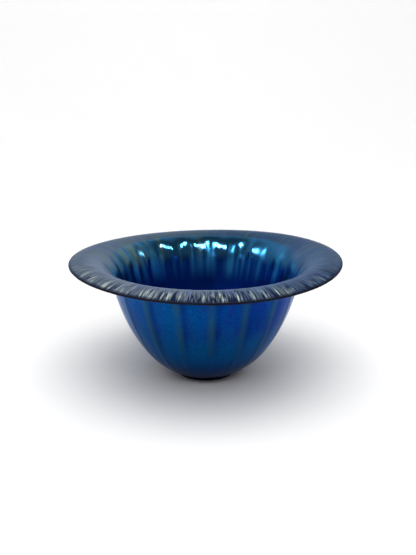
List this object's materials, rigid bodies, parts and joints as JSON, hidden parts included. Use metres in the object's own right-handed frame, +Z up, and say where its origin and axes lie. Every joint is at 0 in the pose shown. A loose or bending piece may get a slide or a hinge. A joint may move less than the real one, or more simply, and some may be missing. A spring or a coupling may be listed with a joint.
{
  "type": "art glass bowl",
  "caption": "Round ribbed glass bowl with a deep tapering body, a wide flared brim with a crazed silky lustre, and a thin foot pad.",
  "frame": {"origin": "centre of the foot pad's underside, in the plane of the table", "axes": "+Z up the axis of the bowl, towards the open brim; +Y and -Y each run through the middle of a rib, +X and -X midway between two"},
  "size_m": [0.223, 0.223, 0.1002],
  "materials": {
    "lustre_glass": "opaque cobalt glass under a blue metallic lustre, satin and crazed on the brim",
    "base_glass": "opaque dark cobalt glass, ground and polished underneath"
  },
  "bodies": {
    "root": {"blown_bowl": "lustre_glass", "foot_pad": "base_glass"}
  },
  "joints": []
}
